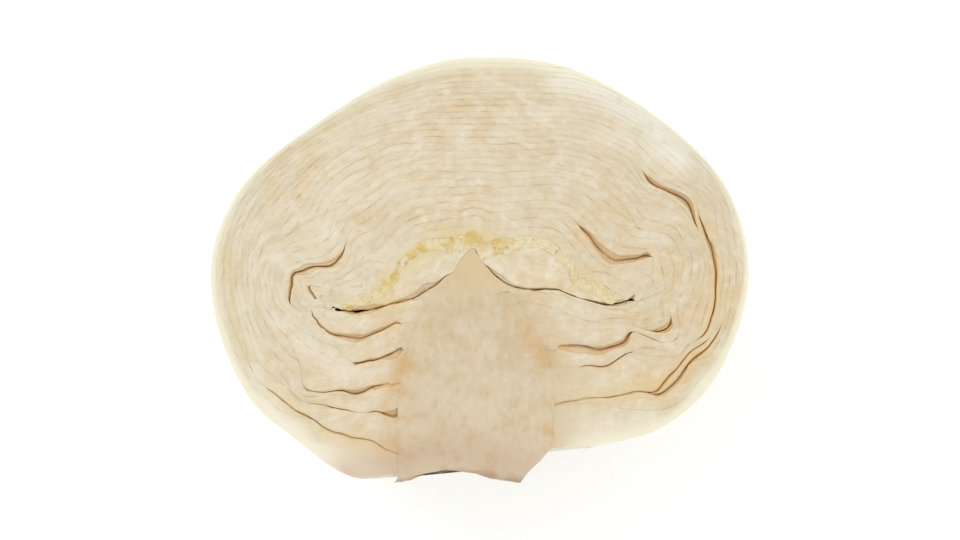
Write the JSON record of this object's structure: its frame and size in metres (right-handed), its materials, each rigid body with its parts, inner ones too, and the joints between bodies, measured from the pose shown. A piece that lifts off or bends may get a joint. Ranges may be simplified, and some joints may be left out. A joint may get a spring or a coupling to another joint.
{
  "type": "half cabbage head",
  "caption": "Half of a white cabbage head, cut lengthways through the core, showing its packed leaves; it lies on its rounded back with the cut face up.",
  "frame": {"origin": "middle of the small flat on the rounded back that the half rests on", "axes": "+Z out of the cut face, +Y the way the head grew (stump towards crown), +X across the cut face"},
  "size_m": [0.1897, 0.15, 0.0909],
  "materials": {
    "heart_leaf_left_flesh": "moist leaf tissue, slightly translucent",
    "heart_leaf_right_flesh": "moist leaf tissue, slightly translucent",
    "bud_flesh": "moist leaf tissue, slightly translucent",
    "leaf_01_flesh": "moist leaf tissue, slightly translucent",
    "leaf_02_flesh": "moist leaf tissue, slightly translucent",
    "leaf_03_flesh": "moist leaf tissue, slightly translucent",
    "leaf_04_flesh": "moist leaf tissue, slightly translucent",
    "leaf_05_flesh": "moist leaf tissue, slightly translucent",
    "leaf_06_flesh": "moist leaf tissue, slightly translucent",
    "leaf_07_flesh": "moist leaf tissue, slightly translucent",
    "leaf_08_flesh": "moist leaf tissue, slightly translucent",
    "leaf_09_flesh": "moist leaf tissue, slightly translucent",
    "leaf_10_flesh": "moist leaf tissue, slightly translucent",
    "leaf_11_flesh": "moist leaf tissue, slightly translucent",
    "leaf_12_flesh": "moist leaf tissue, slightly translucent",
    "leaf_13_flesh": "moist leaf tissue, slightly translucent",
    "leaf_14_flesh": "moist leaf tissue, slightly translucent",
    "leaf_15_flesh": "moist leaf tissue, slightly translucent",
    "leaf_16_flesh": "moist leaf tissue, slightly translucent",
    "leaf_17_flesh": "moist leaf tissue, slightly translucent",
    "leaf_18_flesh": "moist leaf tissue, slightly translucent",
    "leaf_19_flesh": "moist leaf tissue, slightly translucent",
    "leaf_20_flesh": "moist leaf tissue, slightly translucent",
    "leaf_21_flesh": "moist leaf tissue, slightly translucent",
    "leaf_22_flesh": "moist leaf tissue, slightly translucent",
    "leaf_23_flesh": "moist leaf tissue, slightly translucent",
    "leaf_24_flesh": "moist leaf tissue, slightly translucent",
    "leaf_25_flesh": "moist leaf tissue, slightly translucent",
    "leaf_26_flesh": "moist leaf tissue, slightly translucent",
    "core_pith": "dry fibrous pith"
  },
  "bodies": {
    "root": {"heart_leaf_left": "heart_leaf_left_flesh", "heart_leaf_right": "heart_leaf_right_flesh", "bud": "bud_flesh", "leaf_01": "leaf_01_flesh", "leaf_02": "leaf_02_flesh", "leaf_03": "leaf_03_flesh", "leaf_04": "leaf_04_flesh", "leaf_05": "leaf_05_flesh", "leaf_06": "leaf_06_flesh", "leaf_07": "leaf_07_flesh", "leaf_08": "leaf_08_flesh", "leaf_09": "leaf_09_flesh", "leaf_10": "leaf_10_flesh", "leaf_11": "leaf_11_flesh", "leaf_12": "leaf_12_flesh", "leaf_13": "leaf_13_flesh", "leaf_14": "leaf_14_flesh", "leaf_15": "leaf_15_flesh", "leaf_16": "leaf_16_flesh", "leaf_17": "leaf_17_flesh", "leaf_18": "leaf_18_flesh", "leaf_19": "leaf_19_flesh", "leaf_20": "leaf_20_flesh", "leaf_21": "leaf_21_flesh", "leaf_22": "leaf_22_flesh", "leaf_23": "leaf_23_flesh", "leaf_24": "leaf_24_flesh", "leaf_25": "leaf_25_flesh", "leaf_26": "leaf_26_flesh", "core": "core_pith"}
  },
  "joints": []
}
